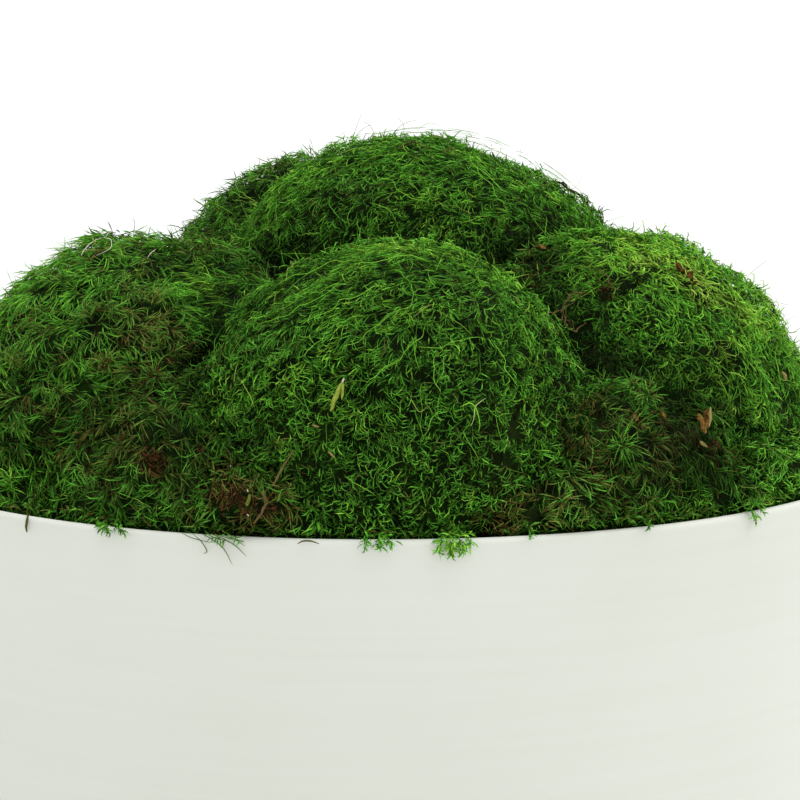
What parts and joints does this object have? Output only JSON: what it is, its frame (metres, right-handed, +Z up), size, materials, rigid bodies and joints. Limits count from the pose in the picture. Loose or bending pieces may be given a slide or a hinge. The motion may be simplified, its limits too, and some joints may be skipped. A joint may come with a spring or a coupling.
{
  "type": "moss bowl garden",
  "caption": "Round white bowl heaped with rounded mounds of green preserved moss over a hidden foam block, with small moss tufts tucked in along the rim.",
  "frame": {"origin": "centre of the bowl's flat base, on the surface that it stands on", "axes": "+Z up along the bowl's turning axis, -Y towards the viewer of the picture, +X to the viewer's right"},
  "size_m": [0.4096, 0.4096, 0.3206],
  "materials": {
    "bowl_glaze": "satin off-white glaze",
    "foam": "dry dark green floral foam",
    "moss_mid": "short curled preserved moss, mid green",
    "moss_deep": "long feathery preserved moss, deep green",
    "moss_bright": "short curled preserved moss, yellow green"
  },
  "bodies": {
    "root": {"bowl": "bowl_glaze", "floral_foam": "foam", "moss_mound_centre": "moss_mid", "moss_mound_front": "moss_mid", "moss_mound_left": "moss_deep", "moss_mound_right": "moss_bright", "moss_mound_back_left": "moss_deep", "moss_mound_back_right": "moss_mid", "moss_tuft_front_left": "moss_deep", "moss_tuft_front_right": "moss_deep", "moss_tuft_left": "moss_deep", "moss_tuft_right": "moss_deep", "moss_tuft_back": "moss_deep", "moss_rim_back_right": "moss_deep", "moss_rim_back": "moss_deep", "moss_rim_back_left": "moss_deep", "moss_rim_left": "moss_deep", "moss_rim_left_front": "moss_deep", "moss_rim_front_left": "moss_deep", "moss_rim_front_right": "moss_deep", "moss_rim_right_front": "moss_deep", "moss_rim_right": "moss_deep"}
  },
  "joints": []
}
